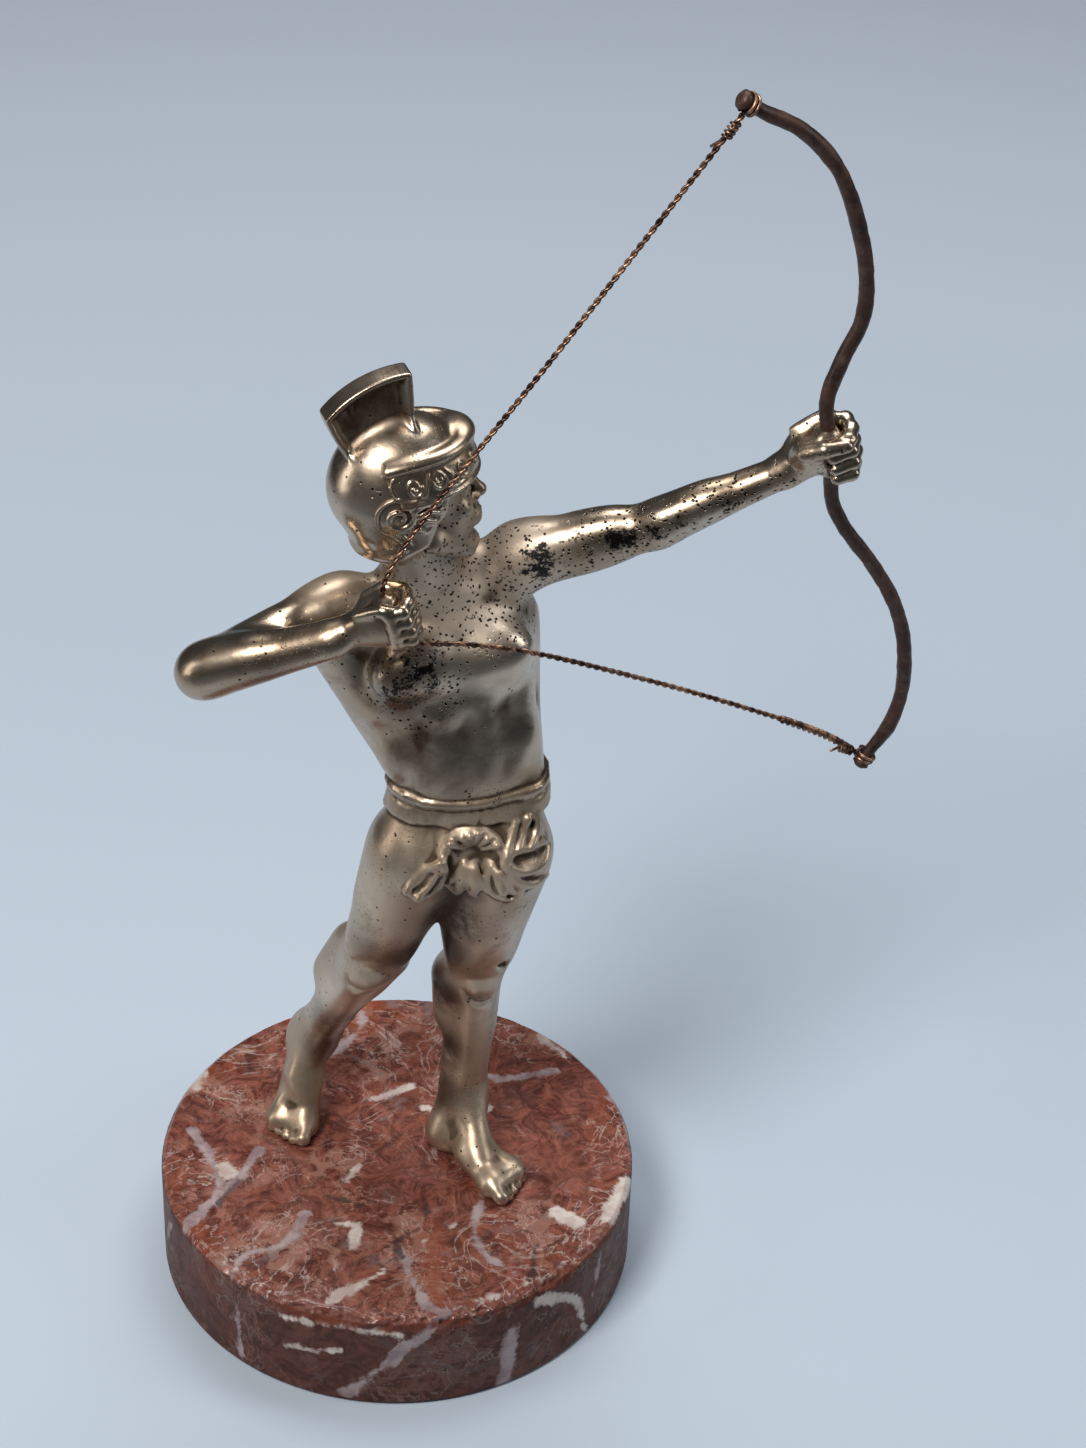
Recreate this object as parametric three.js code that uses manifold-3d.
// A helmeted archer drawing a bow, a silvered casting on a round red marble base.
// Millimetres, +Z up. The origin is the centre of the base's underside, and the
// archer's chest faces -Y, so the bow points along +X.

import * as THREE from "three";
import { mergeVertices } from "three/addons/utils/BufferGeometryUtils.js";
import Module from "manifold-3d";

const wasm = await Module();
wasm.setup();

// Driving dimensions
const BASE_DIAMETER = 150;
const BASE_HEIGHT = 36;
const BASE_BEVEL = 1.2;
const FIGURE_HEIGHT = 260;
const BOW_SPAN = 233;
const BOW_ROD_DIAMETER = 4.2;
const GRIP_CLEARANCE = 0.7;
const STRING_DIAMETER = 1.7;
const STRING_CLEARANCE = 0.55;
const NOCK_INSET = 3.5;
const CLEARANCE = 0.3;
const STRING_STEPS = 32;

// Every measure of the figure below is in millimetres on a figure 260 mm high
const unit = FIGURE_HEIGHT / 260;
const vec = (x, y, z) => new THREE.Vector3(x, y, z);
const onBase = (x, y, z) => vec(x * unit, y * unit, BASE_HEIGHT + CLEARANCE + z * unit);
const radians = THREE.MathUtils.degToRad;
const mix = THREE.MathUtils.lerp;

// The pose, from the top of the base
const hip = { right: onBase(5.5, -11, 133), left: onBase(31, -10, 131.5) };
const knee = { right: onBase(-8, 4, 77), left: onBase(22.5, 3, 73.5) };
const ankle = { right: onBase(-28, 26, 24), left: onBase(20.5, 7, 11.5) };
const heel = { right: onBase(-27, 30, 25), left: onBase(16, 3, 6) };
const foot = { right: onBase(-34, 9.5, 3.6), left: onBase(33, -16.5, 3.6) };
const shoulder = { right: onBase(-15, -9, 214), left: onBase(32.5, 5, 221) };
const elbow = { right: onBase(-54, -29, 205.5), left: onBase(70.5, -0.5, 236) };
const wrist = { right: onBase(-18.5, -36.5, 221.5), left: onBase(105.5, -1.5, 255) };
const grip = { right: onBase(-2.2, -36.4, 228.6), left: onBase(116.7, -3.7, 261.7) };
const pelvis = onBase(20.5, -9, 132);
const neckBase = onBase(9, -4, 222);
const headCentre = onBase(3.5, -11, 256.5);

// Signed distance fields, negative inside
const blob = (centre, radii, axes) => (p) => {
  const offset = p.clone().sub(centre);
  const local = axes.map((axis) => offset.dot(axis));
  const near = Math.hypot(...local.map((d, i) => d / (radii[i] * unit)));
  const slope = Math.hypot(...local.map((d, i) => d / (radii[i] * unit) ** 2));
  return slope > 0 ? (near * (near - 1)) / slope : -Math.min(...radii) * unit;
};

const limb = (from, to, fromRadius, toRadius) => {
  const span = to.clone().sub(from);
  return (p) => {
    const offset = p.clone().sub(from);
    const share = THREE.MathUtils.clamp(offset.dot(span) / span.lengthSq(), 0, 1);
    return offset.addScaledVector(span, -share).length() - mix(fromRadius, toRadius, share) * unit;
  };
};

const ball = (centre, radius) => (p) => p.distanceTo(centre) - radius * unit;

const blend = (softness, ...fields) => (p) => {
  const k = softness * unit;
  return fields.map((field) => field(p)).reduce((a, b) => {
    const h = Math.max(k - Math.abs(a - b), 0) / k;
    return Math.min(a, b) - (h * h * k) / 4;
  });
};

const planeCut = (point, normal) => (p) => p.clone().sub(point).dot(normal);

const both = (...fields) => (p) => Math.max(...fields.map((field) => field(p)));

// A frame along a bone: points by their share of its length, then to the front and to the side
const boneFrame = (from, to, frontHint) => {
  const span = to.clone().sub(from);
  const along = span.clone().normalize();
  const front = frontHint.clone().addScaledVector(along, -frontHint.dot(along)).normalize();
  const side = vec(0, 0, 0).crossVectors(along, front);
  const point = (share, forward = 0, across = 0) =>
    from.clone()
      .addScaledVector(span, share)
      .addScaledVector(front, forward * unit)
      .addScaledVector(side, across * unit);
  return { point, along, front, side, axes: [along, front, side] };
};

// Closed meshes
const toSolid = (geometry) => {
  const bare = geometry.index ? geometry.clone() : geometry;
  bare.deleteAttribute("normal");
  bare.deleteAttribute("uv");
  const merged = mergeVertices(bare, 1e-4);
  const mesh = new wasm.Mesh({
    numProp: 3,
    vertProperties: new Float32Array(merged.attributes.position.array),
    triVerts: new Uint32Array(merged.index.array),
  });
  return new wasm.Manifold(mesh);
};

const joined = (solids) => solids.reduce((a, b) => a.add(b));

const toGeometry = (solid) => {
  const mesh = solid.getMesh();
  const geometry = new THREE.BufferGeometry();
  const stride = mesh.numProp;
  const points = [];
  for (let i = 0; i < mesh.vertProperties.length; i += stride) {
    points.push(...mesh.vertProperties.slice(i, i + 3));
  }
  geometry.setAttribute("position", new THREE.Float32BufferAttribute(points, 3));
  geometry.setIndex([...mesh.triVerts]);
  geometry.computeVertexNormals();
  return geometry;
};

// A solid from points and triangles, turned the right way out
const closedMesh = (points, index) => {
  const geometry = new THREE.BufferGeometry();
  const flat = points.flatMap((p) => [p.x, p.y, p.z]);
  geometry.setAttribute("position", new THREE.Float32BufferAttribute(flat, 3));
  geometry.setIndex(index);
  const solid = toSolid(geometry.clone());
  if (solid.volume() > 0) {
    return solid;
  }
  geometry.setIndex(index.reverse());
  return toSolid(geometry);
};

// Stacks closed rings of equal length between two end points
const stackRings = (first, rings, last) => {
  const sides = rings[0].length;
  const points = [first, ...rings.flat(), last];
  const index = [];
  const at = (ring, side) => 1 + ring * sides + (side % sides);
  for (let side = 0; side < sides; side += 1) {
    index.push(0, at(0, side + 1), at(0, side));
    for (let ring = 0; ring + 1 < rings.length; ring += 1) {
      const [a, b] = [at(ring, side), at(ring, side + 1)];
      const [c, d] = [at(ring + 1, side), at(ring + 1, side + 1)];
      index.push(a, b, c, b, d, c);
    }
    index.push(points.length - 1, at(rings.length - 1, side), at(rings.length - 1, side + 1));
  }
  return closedMesh(points, index);
};

const capRings = (rings) => {
  const middle = (ring) => ring.reduce((sum, p) => sum.add(p), vec(0, 0, 0)).divideScalar(ring.length);
  return stackRings(middle(rings[0]), rings, middle(rings[rings.length - 1]));
};

const castRay = (field, origin, direction) => {
  const surface = origin.clone();
  const step = 0.35 * unit;
  let reach = 0;
  while (field(surface) < 0 && reach < FIGURE_HEIGHT) {
    reach += step;
    surface.copy(origin).addScaledVector(direction, reach);
  }
  let inside = Math.max(reach - step, 0);
  for (let i = 0; i < 9; i += 1) {
    const middle = (inside + reach) / 2;
    surface.copy(origin).addScaledVector(direction, middle);
    if (field(surface) < 0) {
      inside = middle;
    } else {
      reach = middle;
    }
  }
  return surface.copy(origin).addScaledVector(direction, Math.max(inside, 0.2 * unit));
};

// Wraps a field in rings that follow a spine, with a rounded cap at each end
const wrap = (field, spinePoints, { rings, sides, caps = 2, front = vec(0, -1, 0) }) => {
  const spine = new THREE.CatmullRomCurve3(spinePoints);
  const ringAt = (share, lean) => {
    const centre = spine.getPointAt(share);
    const along = spine.getTangentAt(share);
    const forward = front.clone().addScaledVector(along, -front.dot(along)).normalize();
    const across = vec(0, 0, 0).crossVectors(along, forward);
    return Array.from({ length: sides }, (_, i) => {
      const turn = (i / sides) * 2 * Math.PI;
      const direction = forward.clone().multiplyScalar(Math.cos(turn))
        .addScaledVector(across, Math.sin(turn))
        .multiplyScalar(Math.cos(lean))
        .addScaledVector(along, Math.sin(lean));
      return castRay(field, centre, direction);
    });
  };
  const lean = (i) => (i / (caps + 1)) * (Math.PI / 2);
  const all = [];
  for (let i = caps; i > 0; i -= 1) {
    all.push(ringAt(0, -lean(i)));
  }
  for (let i = 0; i < rings; i += 1) {
    all.push(ringAt(i / (rings - 1), 0));
  }
  for (let i = 1; i <= caps; i += 1) {
    all.push(ringAt(1, lean(i)));
  }
  const start = castRay(field, spine.getPointAt(0), spine.getTangentAt(0).negate());
  const end = castRay(field, spine.getPointAt(1), spine.getTangentAt(1));
  return stackRings(start, all, end);
};

// A round rod along a curve
const rod = (curve, diameter, steps, sides) => {
  const outline = new THREE.Shape();
  outline.absarc(0, 0, diameter / 2, 0, 2 * Math.PI);
  const geometry = new THREE.ExtrudeGeometry(outline, {
    steps,
    curveSegments: sides / 2,
    bevelEnabled: false,
    extrudePath: curve,
  });
  return toSolid(geometry);
};

// Trunk: a spine from the pelvis to the neck, turning from the hips' heading to the chest's
const spineUp = neckBase.clone().sub(pelvis).normalize();
const hipTurn = radians(3);
const chestTurn = radians(18);
const trunkAxes = (up) => {
  const turn = mix(hipTurn, chestTurn, THREE.MathUtils.clamp(up / 75, 0, 1));
  const left = vec(Math.cos(turn), Math.sin(turn), 0);
  const front = vec(Math.sin(turn), -Math.cos(turn), 0);
  return [left, front, spineUp];
};
const trunk = (left, front, up) => {
  const [leftAxis, frontAxis] = trunkAxes(up);
  return pelvis.clone()
    .addScaledVector(leftAxis, left * unit)
    .addScaledVector(frontAxis, front * unit)
    .addScaledVector(spineUp, up * unit);
};
const trunkBlob = (left, front, up, radii) => blob(trunk(left, front, up), radii, trunkAxes(up));
const pair = (make) => [make(-1), make(1)];

const trunkField = blend(5,
  trunkBlob(-0.5, -1, 58, [26, 15.5, 28]),
  trunkBlob(2.8, 1.5, 28, [21, 13, 24]),
  trunkBlob(-1, -1, 4, [21.5, 14, 17]),
  ...pair((s) => trunkBlob(s * 11.5, 11, 68, [12.5, 6, 9.5])),
  ...pair((s) => trunkBlob(s * 10.5 - 1, -11, -4, [11.5, 10, 13])),
  limb(trunk(-28.5, -7, 68), trunk(-18, -6, 34), 9, 7),
  limb(trunk(23, -6, 70), trunk(19, -5, 30), 8, 6.4),
  trunkBlob(-13, 0, 18, [7, 10, 11]),
  trunkBlob(17.5, 0, 18, [6.5, 10, 11]),
  limb(trunk(-5, -5, 88), trunk(-17, -3, 78), 7, 8),
  limb(trunk(5, -5, 90), trunk(18, -3, 83), 8, 8.5),
);

// Legs: the right calf is braced, so its two heads stand further out
const calf = {
  right: { outer: 6.2, inner: 5.4, back: 6, shinInner: 1 },
  left: { outer: 4.8, inner: 3.8, back: 4.6, shinInner: 3 },
};
const legFields = (side, s) => {
  const { outer, inner, back, shinInner } = calf[side];
  const thigh = boneFrame(hip[side], knee[side], vec(side === "right" ? -0.15 : 0.25, -1, 0));
  const shin = boneFrame(knee[side], ankle[side], vec(side === "right" ? -0.15 : 0.4, -1, 0));
  const thighField = blend(4,
    limb(thigh.point(0), thigh.point(1), 14, 9.4),
    limb(thigh.point(0.1, 3.5, 0), thigh.point(0.74, 3.5, 0.5 * s), 12, 9),
    limb(thigh.point(0.1, -4, 0), thigh.point(0.75, -3.2, 0), 11, 7.5),
    limb(thigh.point(0.05, 0, -4 * s), thigh.point(0.5, 0, -3 * s), 10, 9),
    limb(thigh.point(0.1, 0, 3 * s), thigh.point(0.7, 0, 2.5 * s), 11, 9),
    ball(thigh.point(0.86, 4.4, -4.6 * s), 5),
    ball(thigh.point(0.82, 4.2, 4.6 * s), 4.6),
    blob(shin.point(0, 6.4, 0), [5.6, 4.4, 4.8], shin.axes),
  );
  const shinField = blend(3.5,
    limb(shin.point(0), shin.point(1, 0, -0.8 * s), 9, 6.2),
    blob(shin.point(0, 6.4, 0), [5.6, 4.4, 4.8], shin.axes),
    limb(shin.point(0.1, -back, -outer * s), shin.point(0.44, -back, -outer * s), 7, 6.6),
    limb(shin.point(0.08, -back, inner * s), shin.point(0.36, -back, (inner - 0.4) * s), 7.4, 6.6),
    limb(shin.point(0.42, -4.2, -1 * s), shin.point(0.82, -3, 0), 6, 3.4),
    limb(shin.point(0.6, 0.4, shinInner * s), shin.point(0.96, 0.4, shinInner * s), 4.8, 4.4),
    limb(shin.point(0.1, 3.6, 0), shin.point(0.9, 1.6, 0), 4.8, 4),
    ball(shin.point(0.97, 0, 4 * s), 3.2),
    ball(shin.point(0.94, 0, -4 * s), 3.2),
  );
  return { thigh, shin, thighField, shinField };
};
const leg = { right: legFields("right", -1), left: legFields("left", 1) };

// Feet, each from its heel over the instep to the ball and five toes
const footParts = (side, s) => {
  const toward = foot[side].clone().sub(heel[side]).setZ(0).normalize();
  const ground = planeCut(onBase(0, 0, 0), vec(0, 0, -1));
  const frame = boneFrame(heel[side], foot[side], vec(0, 0, 1));
  const outward = frame.side.clone().multiplyScalar(frame.side.dot(vec(s, 0, 0)) > 0 ? 1 : -1);
  const across = (point, amount) => point.clone().addScaledVector(outward, amount * unit);
  const flesh = blend(3,
    ball(heel[side], 6.4),
    limb(ankle[side], heel[side], 5.8, 5.8),
    limb(ankle[side], across(frame.point(0.62, 3), -1.4), 5.8, 4.6),
    limb(across(frame.point(0.5, 1.6), -2.4), across(foot[side], -4), 5, 4.2),
    limb(heel[side], across(foot[side], 4), 5.4, 3.6),
    limb(across(foot[side], -4.4), across(foot[side], 4.6), 4.2, 3.5),
  );
  const toes = [0, 1, 2, 3, 4].map((i) => {
    const start = across(foot[side], -5.8 + 2.9 * i).addScaledVector(toward, (0.5 - 0.6 * i) * unit);
    const length = i === 0 ? 5.2 : 6.6 - 0.5 * i;
    const end = start.clone().addScaledVector(toward, length * unit);
    const radius = i === 0 ? 3 : 2.1 - 0.1 * i;
    start.z = onBase(0, 0, radius + 1).z;
    end.z = onBase(0, 0, radius).z;
    return wrap(both(limb(start, end, radius, radius * 0.95), ground), [start, end],
      { rings: 2, sides: 4, caps: 1, front: vec(0, 0, 1) });
  });
  const body = wrap(both(flesh, ground), [heel[side], frame.point(0.4, 0.6), foot[side]],
    { rings: 5, sides: 10, caps: 1, front: vec(0, 0, 1) });
  return joined([body, ...toes]);
};

// Arms
const armFields = (side, front, bulk, shoulderRadius) => {
  const upper = boneFrame(shoulder[side], elbow[side], front);
  const fore = boneFrame(elbow[side], wrist[side], front);
  const upperField = blend(3.5,
    ball(upper.point(0.02, 0, 0), shoulderRadius),
    limb(upper.point(0, 0, 0), upper.point(0.42, 0, 0), 9.4, 7.4),
    limb(upper.point(0.3, 2.2, 0), upper.point(0.72, 2.4, 0), 7, 6),
    limb(upper.point(0.25, -2.4, 0), upper.point(0.75, -1.8, 0), 7, 5.6),
    limb(upper.point(0.5), upper.point(1), 7, 6.4),
  );
  const foreField = blend(3,
    limb(fore.point(0), fore.point(1), 6.6 * bulk, 4.6 * bulk),
    limb(fore.point(0.08, 1.8, 1), fore.point(0.42, 1.8, 0.6), 6 * bulk, 5.4 * bulk),
    limb(fore.point(0.08, -2, -1), fore.point(0.5, -1.6, -0.6), 5.6 * bulk, 4.8 * bulk),
    ball(fore.point(-0.04, -1.6, 0), 5.6 * bulk),
  );
  return { upper, fore, upperField, foreField };
};
const arm = {
  right: armFields("right", vec(0, -0.3, 1), 1.2, 9.6),
  left: armFields("left", vec(0, -0.3, 1), 1, 10.4),
};

// Fists: four fingers curled round the line of the grip, and the thumb over them
const fistParts = (side, axis, forearm, s, size) => {
  const reach = forearm.clone().addScaledVector(axis, -forearm.dot(axis)).normalize();
  const back = vec(0, 0, 0).crossVectors(axis, reach).multiplyScalar(s);
  const spot = (up, forward, behind) => grip[side].clone()
    .addScaledVector(axis, up * size * unit)
    .addScaledVector(reach, forward * size * unit)
    .addScaledVector(back, behind * size * unit);
  const digit = (from, to, fromRadius, toRadius) => limb(from, to, fromRadius * size, toRadius * size);
  const palm = blend(3,
    blob(spot(0, -4, 4), [7.4 * size, 8.5 * size, 3.8 * size], [axis, reach, back]),
    digit(wrist[side], spot(0, -5, 0), 5, 5.8),
    digit(spot(5, 0, 0), spot(-5, 0, 0), 4, 4),
    digit(spot(3, -7, -2.5), spot(4.5, -3, -4), 3.6, 3),
  );
  const parts = [
    wrap(palm, [wrist[side], spot(0, -5, 1), spot(0, 1, 1.5)],
      { rings: 4, sides: 8, caps: 1, front: axis }),
  ];
  for (let i = 0; i < 4; i += 1) {
    const up = 5.9 - 3.9 * i;
    const short = i === 3 ? 0.8 : 0;
    const knuckles = [
      spot(up, 0, 6.2 - short),
      spot(up, 6 - short, 5 - short),
      spot(up - 0.3, 6 - short, -3.4),
      spot(up - 0.4, 0.4, -5.2 + short),
    ];
    const finger = blend(0.6,
      digit(knuckles[0], knuckles[1], 2.3, 2.25),
      digit(knuckles[1], knuckles[2], 2.25, 2.05),
      digit(knuckles[2], knuckles[3], 2.05, 1.8),
    );
    parts.push(wrap(finger, knuckles, { rings: 4, sides: 4, caps: 1, front: axis }));
  }
  const thumb = [spot(4.5, -7, -4.6), spot(6, -1.5, -6.6), spot(5.4, 4.4, -6)];
  const thumbField = blend(0.8,
    digit(thumb[0], thumb[1], 2.8, 2.4),
    digit(thumb[1], thumb[2], 2.4, 1.9),
  );
  parts.push(wrap(thumbField, thumb, { rings: 3, sides: 5, caps: 1, front: axis }));
  return joined(parts);
};

// Head, looking along the arrow's line: points by how far ahead, to the left and up
const gazeTurn = radians(18);
const gazeLift = radians(12);
const gaze = vec(
  Math.cos(gazeTurn) * Math.cos(gazeLift),
  Math.sin(gazeTurn) * Math.cos(gazeLift),
  Math.sin(gazeLift),
);
const headLeft = vec(-Math.sin(gazeTurn), Math.cos(gazeTurn), 0);
const headUp = vec(0, 0, 0).crossVectors(gaze, headLeft);
const headAxes = [gaze, headLeft, headUp];
const head = (ahead, left, up) => headCentre.clone()
  .addScaledVector(gaze, ahead * unit)
  .addScaledVector(headLeft, left * unit)
  .addScaledVector(headUp, up * unit);
const headBlob = (ahead, left, up, radii) => blob(head(ahead, left, up), radii, headAxes);

const skullField = blend(3,
  headBlob(-2, 0, 1, [16.5, 12.5, 15.5]),
  headBlob(5.5, 0, -10.8, [9.5, 9.4, 15]),
  ...pair((s) => limb(head(-0.5, s * 8.5, -15.6), head(8.5, s * 3.8, -24.2), 3.8, 3.4)),
  ball(head(11, 0, -24.6), 3.2),
);
const faceField = blend(1.2,
  skullField,
  limb(head(14, 0, -3), head(17.6, 0, -10.6), 1.3, 1.7),
  ...pair((s) => ball(head(15.4, s * 1.8, -11.2), 1.3)),
  ...pair((s) => limb(head(13.6, s * 2, -0.8), head(10.8, s * 7.5, -1), 1.6, 1.5)),
  headBlob(14, 0, -15.2, [2, 3.6, 0.9]),
  headBlob(13.7, 0, -17.6, [1.9, 3, 1]),
);
const neckField = blend(3,
  limb(trunk(0, -4, 84), head(-3, 0, -12), 11, 9.5),
  ...pair((s) => limb(trunk(s * 4, 4, 88), head(-5, s * 9, -9), 3.2, 3.2)),
);

// Helmet: a bowl with a nape guard, cheek guards, a peaked visor and a standing crest
const direct = (ahead, left, up) => head(ahead, left, up).sub(headCentre).normalize();
const bowlField = both(
  blend(3,
    headBlob(-3.6, 0, 1.5, [20.6, 15.8, 19]),
    limb(head(-12, 0, -9), head(-10, 0, -14), 8.8, 8.2),
    ...pair((s) => limb(head(-13, s * 6, -7), head(-10, s * 7.4, -14), 6.6, 6)),
    ...pair((s) => limb(head(-10, s * 8, -9), head(-4, s * 10, -11), 5, 4)),
  ),
  planeCut(head(-12, 0, -17.5), direct(0.25, 0, -1)),
  planeCut(head(4, 0, -3), direct(1, 0, -0.85)),
);
const bowlPart = () => wrap(bowlField, [head(-4.5, 0, -12), head(-3, 0, 4), head(-2.5, 0, 14)],
  { rings: 6, sides: 16, front: gaze });

// The crest: a ridge with hollow sides that flares into a flat top, its two ends upright
const crestPart = () => {
  const stations = 6;
  const low = 17;
  const top = 34;
  const rim = 3.6;
  const waist = 1.5;
  const rings = Array.from({ length: stations }, (_, i) => {
    const share = i / (stations - 1);
    const spot = (radius, across) => {
      const upright = mix(-0.25, 0.85, share) * (top - radius);
      const turn = radians(mix(76.5, 120, share) + upright);
      const droop = mix(1, 0.94, share ** 2);
      return head(-3 + radius * droop * Math.cos(turn) * 1.06, across, 1 + radius * droop * Math.sin(turn));
    };
    const profile = [[low, 2.6], [mix(low, top, 0.35), waist + 0.5], [mix(low, top, 0.68), waist + 0.4],
      [top - 2.6, rim - 0.5], [top - 1, rim], [top, rim - 0.8]];
    return [...profile.map(([r, a]) => spot(r, a)), ...profile.reverse().map(([r, a]) => spot(r, -a))];
  });
  return capRings(rings);
};

// The visor: a panelled band under a proud ledge, high at the temples and low over the brow
const visorEnd = radians(114);
const onVisor = (turn, lift, out) => {
  const shrink = Math.sqrt(1 - ((lift - 1.5) / 19) ** 2);
  return head(-3 + (20 * shrink + out) * Math.cos(turn), (15.8 * shrink + out) * Math.sin(turn), lift);
};
const visorShape = (turn) => {
  const peak = (Math.cos(turn) - Math.cos(visorEnd)) / (1 - Math.cos(visorEnd));
  const upper = mix(12.6, 11.6, peak) + 1.2 * Math.sin(turn) ** 2;
  return { upper, lower: mix(3.2, 0.2, peak), proud: mix(1.7, 3.7, peak ** 2) };
};
const visorPart = () => {
  const stations = 11;
  const rings = Array.from({ length: stations }, (_, i) => {
    const turn = mix(-visorEnd, visorEnd, i / (stations - 1));
    const { upper, lower, proud } = visorShape(turn);
    const edge = (lift, out) => onVisor(turn, lift, out);
    return [edge(upper - 0.4, -3), edge(upper + 0.9, proud - 1), edge(upper - 0.2, proud),
      edge(upper - 1.6, proud - 1.2), edge(lower, 1), edge(lower - 0.4, -3)];
  });
  return capRings(rings);
};

// A spiral scroll of round section, laid on a curved surface that its place function gives
const scrollPart = (place, startRadius, turns, thickness, flip) => {
  const points = Array.from({ length: 15 }, (_, i) => {
    const share = i / 14;
    const turn = flip * share * turns * 2 * Math.PI;
    const radius = mix(startRadius, 0.8, share);
    return place(radius * Math.cos(turn), radius * Math.sin(turn));
  });
  return rod(new THREE.CatmullRomCurve3(points), thickness * unit, 10, 4);
};

const helmetScrolls = () => pair((s) => {
  const cheek = (a, b) => head(-9.4 + a, s * (15.2 - 0.02 * (a * a + b * b)), b);
  return scrollPart(cheek, 4.4, 1.4, 1.6, s);
});

// Belt: a rolled sash round the waist
const beltPart = () => {
  const sides = 20;
  const profile = [[15.5, -2], [14.8, 1.4], [17.5, 1.6], [22, 1], [24, 1.7], [24.5, -2]];
  const sectionAt = (turn) => profile.map(([up, out]) => {
    const wave = 0.7 * Math.sin(5 * turn);
    const axes = trunkAxes(up);
    const direction = axes[0].clone().multiplyScalar(Math.sin(turn)).addScaledVector(axes[1], Math.cos(turn));
    const centre = trunk(0, 0, up + wave);
    const skin = castRay(trunkField, centre, direction);
    return skin.addScaledVector(direction, out * unit);
  });
  const index = [];
  const points = [];
  for (let i = 0; i < sides; i += 1) {
    points.push(...sectionAt((i / sides) * 2 * Math.PI));
    for (let j = 0; j < profile.length; j += 1) {
      const next = (i + 1) % sides;
      const [a, b] = [i * profile.length + j, i * profile.length + ((j + 1) % profile.length)];
      const [c, d] = [next * profile.length + j, next * profile.length + ((j + 1) % profile.length)];
      index.push(a, b, c, b, d, c);
    }
  }
  return closedMesh(points, index);
};

// Loincloth: an arch of gathers over a hollow, a fan of pleats below it and a swag at each side
const clothFolds = () => {
  const ridge = (radius, ...places) => {
    const points = places.map((place) => trunk(...place));
    const spans = points.slice(1).map((point, i) => limb(points[i], point, radius, radius));
    return wrap(blend(0.8, ...spans), points, { rings: 2 * points.length - 2, sides: 4, caps: 1 });
  };
  const hollow = [-0.3, 12.5, 5.5];
  const pleats = [[-7.2, 12.4, -5.6], [-2.6, 13.6, -6], [1.6, 13.8, -5.8], [6, 13.4, -7], [11.4, 11.4, -8]]
    .map((end) => ridge(1.7, hollow, [(hollow[0] + end[0]) / 2, end[1] + 1, end[2] / 2 + 2], end));
  const gathers = [-2, 0.8, 3.6].map((left) => ridge(1.2, [left * 1.6, 12.6, 13], [left, 13.2, 8]));
  const arch = ridge(1.6, [-9.6, 11, 3], [-6.4, 13, 9.5], [-2.4, 13.8, 12.4], [4.4, 13.8, 12.2],
    [8.6, 12.8, 8], [9.8, 11.8, 4]);
  const leftSwag = ridge(1.5, [-8, 12, 5], [-11.4, 12.6, -1], [-15, 11.6, -6.2], [-18.8, 9, -5.4]);
  const rightSwag = ridge(1.5, [9.6, 12, 3], [13, 11.4, -2.6], [16.7, 9.6, -5.8], [21, 6.6, 1]);
  const rightFold = ridge(1.4, [16.6, 9.4, 13.6], [13, 11.2, 8.6], [10.4, 12, 4]);
  const apron = wrap(blend(3,
    limb(trunk(-7, 8, -2.5), trunk(9, 8, -3.5), 5, 5),
    limb(trunk(-5, 9, 4), trunk(6, 9, 4), 4, 4),
  ), [trunk(-8, 8.5, -1), trunk(10, 8.5, -1)], { rings: 4, sides: 8, caps: 1 });
  return [apron, ...pleats, ...gathers, arch, leftSwag, rightSwag, rightFold];
};

// Bow: drawn in its own plane, forward along the arrow and up along the limbs
const stringAxis = onBase(-4.7, -37.5, 238.5).sub(onBase(1.2, -34.7, 219.6)).normalize();
const bowUp = vec(-0.228, -0.12, 0.966).normalize();
const bowAhead = vec(0.933, 0.256, 0.252).normalize();
const halfSpan = BOW_SPAN / 2;
const onBow = (ahead, up) => grip.left.clone()
  .addScaledVector(bowAhead, ahead * halfSpan)
  .addScaledVector(bowUp, up * halfSpan);
const bowCurve = new THREE.CatmullRomCurve3([
  onBow(-0.062, 1), onBow(-0.02, 0.95), onBow(0.06, 0.87), onBow(0.125, 0.75), onBow(0.152, 0.59),
  onBow(0.152, 0.45), onBow(0.125, 0.33), onBow(0.06, 0.235), onBow(0.012, 0.15), onBow(0, 0),
  onBow(-0.015, -0.15), onBow(0.005, -0.24), onBow(0.05, -0.36), onBow(0.09, -0.5), onBow(0.1, -0.66),
  onBow(0.078, -0.8), onBow(0.025, -0.91), onBow(-0.035, -0.965), onBow(-0.07, -1),
]);
const bowPart = () => {
  const shaft = rod(bowCurve, BOW_ROD_DIAMETER, 28, 8);
  const knobs = [0, 1].map((share) => {
    const knob = new THREE.SphereGeometry(BOW_ROD_DIAMETER * 0.6, 6, 4);
    const place = bowCurve.getPointAt(share);
    knob.translate(place.x, place.y, place.z);
    return toSolid(knob);
  });
  return joined([shaft, ...knobs]);
};

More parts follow.
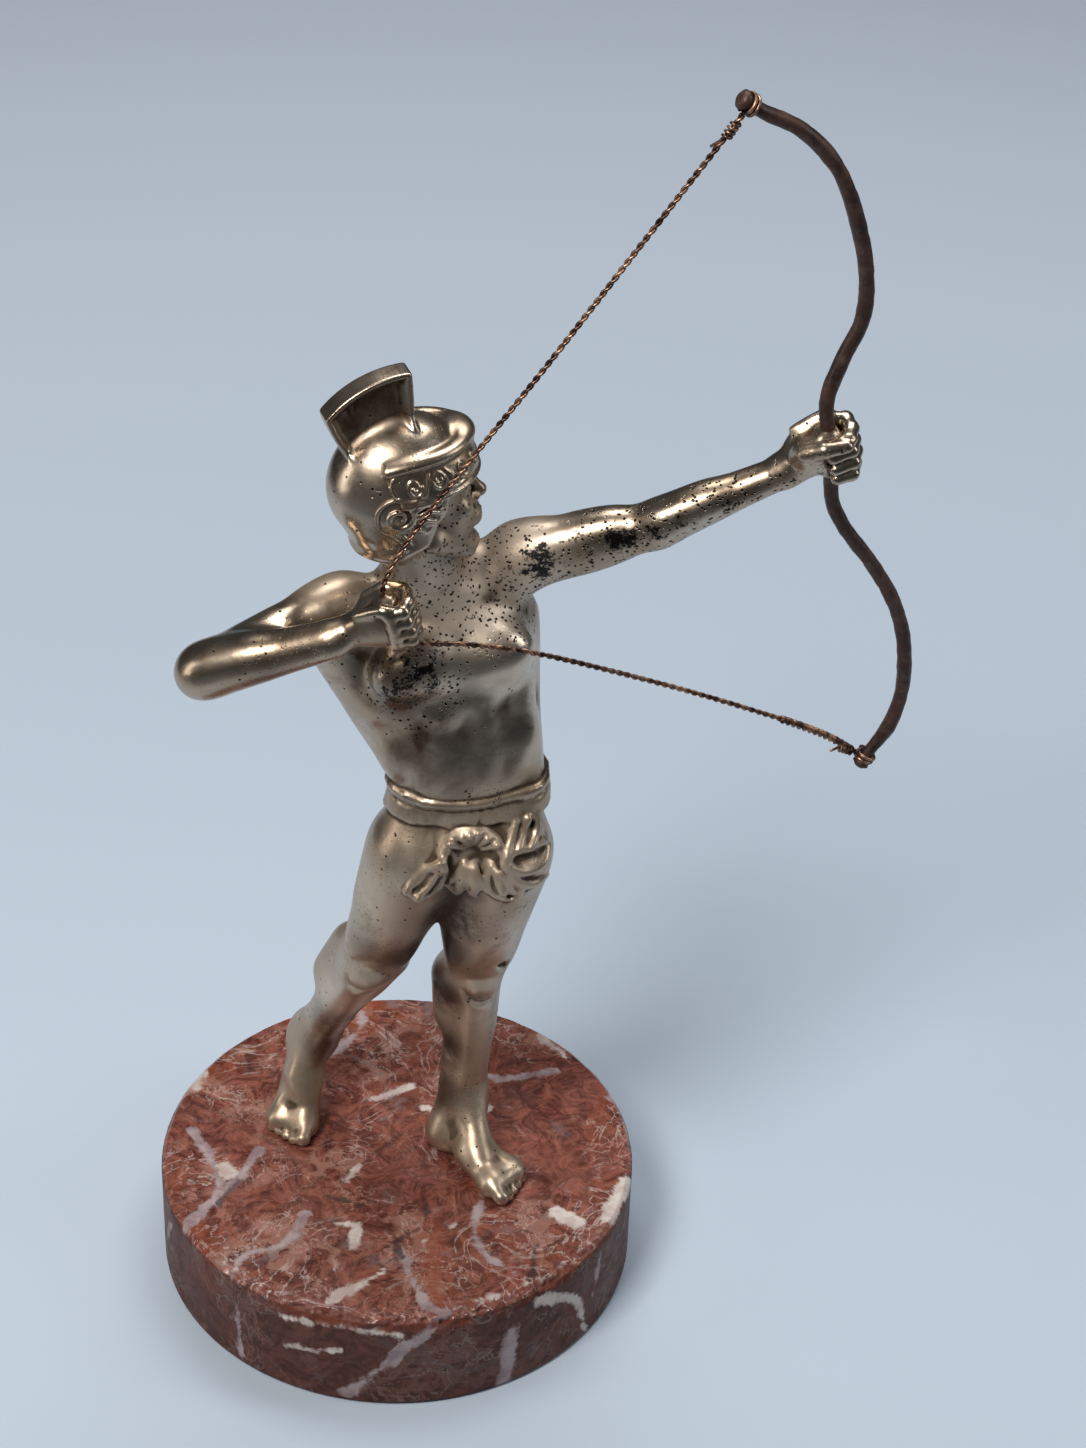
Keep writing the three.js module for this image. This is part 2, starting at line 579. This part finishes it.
// String: a loop round each end of the bow, and one wire between them through the right fist
const stringSolids = (diameter) => {
  const nockShare = NOCK_INSET / bowCurve.getLength();
  const loopRadius = BOW_ROD_DIAMETER / 2 + CLEARANCE + STRING_DIAMETER / 2;
  const fistTop = grip.right.clone().addScaledVector(stringAxis, 9 * unit);
  const fistBottom = grip.right.clone().addScaledVector(stringAxis, -9 * unit);
  const bend = onBow(-1.056, 0.14);
  const nocks = [nockShare, 1 - nockShare].map((share) => {
    const centre = bowCurve.getPointAt(share);
    const tangent = bowCurve.getTangentAt(share);
    const toFist = grip.right.clone().sub(centre);
    const pull = toFist.addScaledVector(tangent, -toFist.dot(tangent)).normalize();
    return { centre, tangent, start: centre.clone().addScaledVector(pull, loopRadius) };
  });
  const route = new THREE.CatmullRomCurve3([
    nocks[0].start,
    nocks[0].start.clone().lerp(bend, 0.5),
    bend,
    fistTop,
    grip.right,
    fistBottom,
    onBow(-0.95, -0.165),
    onBow(-0.81, -0.257),
    onBow(-0.603, -0.427),
    onBow(-0.387, -0.618),
    onBow(-0.142, -0.857),
    nocks[1].start,
  ], false, "centripetal");
  const loops = nocks.map(({ centre, tangent }) => {
    const ring = new THREE.TorusGeometry(loopRadius, STRING_DIAMETER / 2, 5, 10);
    ring.applyQuaternion(new THREE.Quaternion().setFromUnitVectors(vec(0, 0, 1), tangent));
    ring.translate(centre.x, centre.y, centre.z);
    return toSolid(ring);
  });
  return { wire: rod(route, diameter, STRING_STEPS, 6), loops };
};

// The figure in one casting, bored through both fists
const archerPart = () => {
  const limbs = ["right", "left"].flatMap((side) => {
    const s = side === "right" ? -1 : 1;
    const { thigh, shin, thighField, shinField } = leg[side];
    const { upper, fore, upperField, foreField } = arm[side];
    return [
      wrap(thighField, [thigh.point(0.02), thigh.point(0.5), thigh.point(0.98)],
        { rings: 7, sides: 10, caps: 1, front: thigh.front }),
      wrap(shinField, [shin.point(0.02), shin.point(0.5), shin.point(0.97)],
        { rings: 8, sides: 10, caps: 1, front: shin.front }),
      footParts(side, s),
      wrap(upperField, [upper.point(0.02), upper.point(0.5), upper.point(0.98)],
        { rings: 5, sides: 10, caps: 1, front: upper.front }),
      wrap(foreField, [fore.point(0), fore.point(0.5), fore.point(0.98)],
        { rings: 6, sides: 8, caps: 1, front: fore.front }),
    ];
  });
  const body = joined([
    wrap(trunkField, [trunk(0, -1, -3), trunk(0, 0, 28), trunk(0, 0, 58), trunk(0, -2, 82)],
      { rings: 12, sides: 20, caps: 1, front: trunkAxes(30)[1] }),
    wrap(neckField, [trunk(0, -4, 86), head(-4, 0, -12)], { rings: 3, sides: 10, caps: 1 }),
    wrap(faceField, [head(2, 0, -14), head(0, 0, -6), head(-2, 0, 3)],
      { rings: 8, sides: 14, caps: 1, front: gaze }),
    ...limbs,
    fistParts("right", stringAxis, arm.right.fore.along, -1, 0.9),
    fistParts("left", bowUp, arm.left.fore.along, 1, 1),
    bowlPart(),
    crestPart(),
    visorPart(),
    ...helmetScrolls(),
    beltPart(),
    ...clothFolds(),
  ]);
  const gripRun = [-0.08, -0.04, 0, 0.04, 0.08].map((shift) => bowCurve.getPoint(0.5 + shift));
  const gripHole = BOW_ROD_DIAMETER + 2 * GRIP_CLEARANCE;
  const gripBore = rod(new THREE.CatmullRomCurve3(gripRun), gripHole, 6, 8);
  const { wire } = stringSolids(STRING_DIAMETER + 2 * STRING_CLEARANCE);
  const bored = body.subtract(gripBore).subtract(wire).decompose();
  return bored.reduce((a, b) => (a.volume() > b.volume() ? a : b));
};

const basePart = () => {
  const radius = BASE_DIAMETER / 2;
  const outline = [
    new THREE.Vector2(0, 0),
    new THREE.Vector2(radius - BASE_BEVEL, 0),
    new THREE.Vector2(radius, BASE_BEVEL),
    new THREE.Vector2(radius, BASE_HEIGHT - BASE_BEVEL),
    new THREE.Vector2(radius - BASE_BEVEL, BASE_HEIGHT),
    new THREE.Vector2(0, BASE_HEIGHT),
  ];
  const geometry = new THREE.LatheGeometry(outline, 48);
  geometry.rotateX(Math.PI / 2);
  return toSolid(geometry);
};

const finish = (color, metalness, roughness) =>
  new THREE.MeshStandardMaterial({ color, metalness, roughness });

const statue = new THREE.Group();
const addPiece = (name, solid, material) => {
  const mesh = new THREE.Mesh(toGeometry(solid), material);
  mesh.name = name;
  statue.add(mesh);
};

const string = stringSolids(STRING_DIAMETER);
addPiece("marble_base", basePart(), finish(0x8a463c, 0, 0.35));
addPiece("archer", archerPart(), finish(0xb5a88f, 1, 0.3));
addPiece("bow", bowPart(), finish(0x4a332b, 0.8, 0.6));
addPiece("bowstring", joined([string.wire, ...string.loops]), finish(0x6e4a38, 0.9, 0.5));

export default statue;
